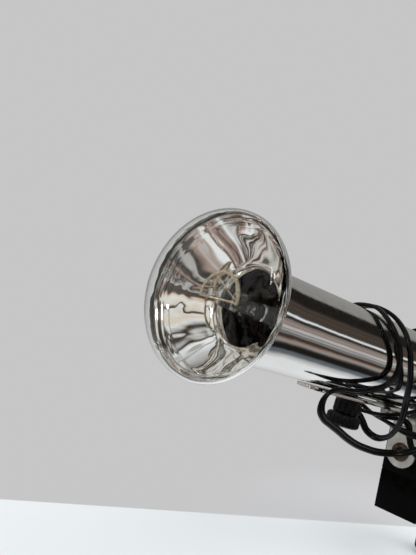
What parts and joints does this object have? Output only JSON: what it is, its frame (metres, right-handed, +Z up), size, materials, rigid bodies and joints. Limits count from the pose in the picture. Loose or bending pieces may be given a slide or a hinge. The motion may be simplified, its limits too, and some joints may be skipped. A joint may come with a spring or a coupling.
{
  "type": "clamp spotlight",
  "caption": "Chromed tube spotlight with a mirrored reflector bulb on a swivelling, tilting screw clamp, with a rotary switch under the tube and its cord wound round it.",
  "frame": {"origin": "centre of the upper jaw's pad, on its underside, straight above the clamp screw", "axes": "+Z up, against the way the pad faces; the clamp opens towards +X and the lamp looks towards -X"},
  "size_m": [0.3413, 0.1032, 0.2503],
  "materials": {
    "chrome": "polished chrome plate",
    "zinc": "dull zinc plate",
    "steel": "plain steel",
    "brass": "browned with age",
    "black_paint": "black semi-gloss paint",
    "black_gloss": "black gloss moulding",
    "black_plastic": "black satin moulding",
    "cord": "smooth black flexible sheath",
    "rubber": "matte black rubber",
    "bakelite": "dark moulded resin",
    "porcelain": "glazed",
    "fibre": "pressed brown fibre",
    "nickel": "nickel plate",
    "solder": "dull solder",
    "glass": "clear",
    "mirror": "rippled silvering",
    "tungsten": "bare wire"
  },
  "bodies": {
    "clamp": {"clamp_frame": "black_paint", "front_block": "black_gloss", "block_screw_near": "steel", "block_screw_far": "steel", "swivel_rivet": "brass", "friction_washer": "fibre", "upper_jaw_pad": "rubber", "clamp_nut": "steel"},
    "foot": {"foot_pad": "rubber", "clamp_foot": "steel"},
    "screw": {"clamp_screw": "zinc", "clamp_knob": "black_plastic"},
    "bracket": {"swivel_plate": "zinc", "tilt_bolt": "steel", "tilt_washer_far": "steel", "tilt_washer_near": "steel", "tilt_nut": "steel"},
    "head": {"strap": "chrome", "lamp_tube": "chrome", "rear_cap": "black_plastic", "spacer_front": "fibre", "spacer_rear": "fibre", "strap_screw": "steel", "strap_nut": "steel", "switch_body": "black_plastic", "switch_nut": "steel", "hollow_rod": "zinc", "holder_nut": "zinc", "cap_nut_inside": "zinc", "cap_nut_outside": "zinc", "holder_skirt": "bakelite", "holder_dome": "bakelite", "holder_insert": "porcelain", "threaded_shell": "nickel", "centre_contact": "nickel", "terminal_screw_near": "nickel", "terminal_screw_far": "nickel", "inner_lead": "cord", "cord_grip": "black_plastic", "bulb_glass": "glass", "bulb_mirror": "mirror", "bulb_cap": "nickel", "cap_insulator": "black_gloss", "cap_contact": "solder", "glass_stem": "glass", "filament": "tungsten", "lamp_lead": "cord", "mains_cord_start": "cord", "cord_wraps": "cord", "mains_cord_rest": "cord", "cord_hank": "cord", "cord_tail": "cord", "cord_tie": "rubber", "plug_body": "black_plastic", "plug_pin_lower": "nickel", "plug_pin_upper": "nickel"},
    "knob": {"switch_knob": "black_plastic", "switch_shaft": "bakelite"}
  },
  "joints": [
    {"name": "swivel", "type": "hinge", "parent": "clamp", "child": "bracket", "pos_m": [-0.072, 0.0035, -0.006], "axis": [1, 0, 0], "range_deg": [-90, 90]},
    {"name": "tilt", "type": "hinge", "parent": "bracket", "child": "head", "pos_m": [-0.0745, 0.0035, 0.0222], "axis": [0, 1, 0], "range_deg": [-45, 20]},
    {"name": "switch_turn", "type": "hinge", "parent": "head", "child": "knob", "pos_m": [-0.15974, 0.0035, 0.03155], "axis": [0.199, 0, 0.98], "range_deg": [0, 90]},
    {"name": "foot_slide", "type": "slide", "parent": "clamp", "child": "foot", "axis": [0, 0, 1], "range_m": [-0.016, 0.024]},
    {"name": "screw_turn", "type": "hinge", "parent": "foot", "child": "screw", "pos_m": [0, 0, -0.06], "axis": [0, 0, 1], "range_deg": [-2880, 4320]}
  ],
  "couplings": [
    {"joint": "screw_turn", "follows": "foot_slide", "rad_per_m": 3141.6}
  ]
}
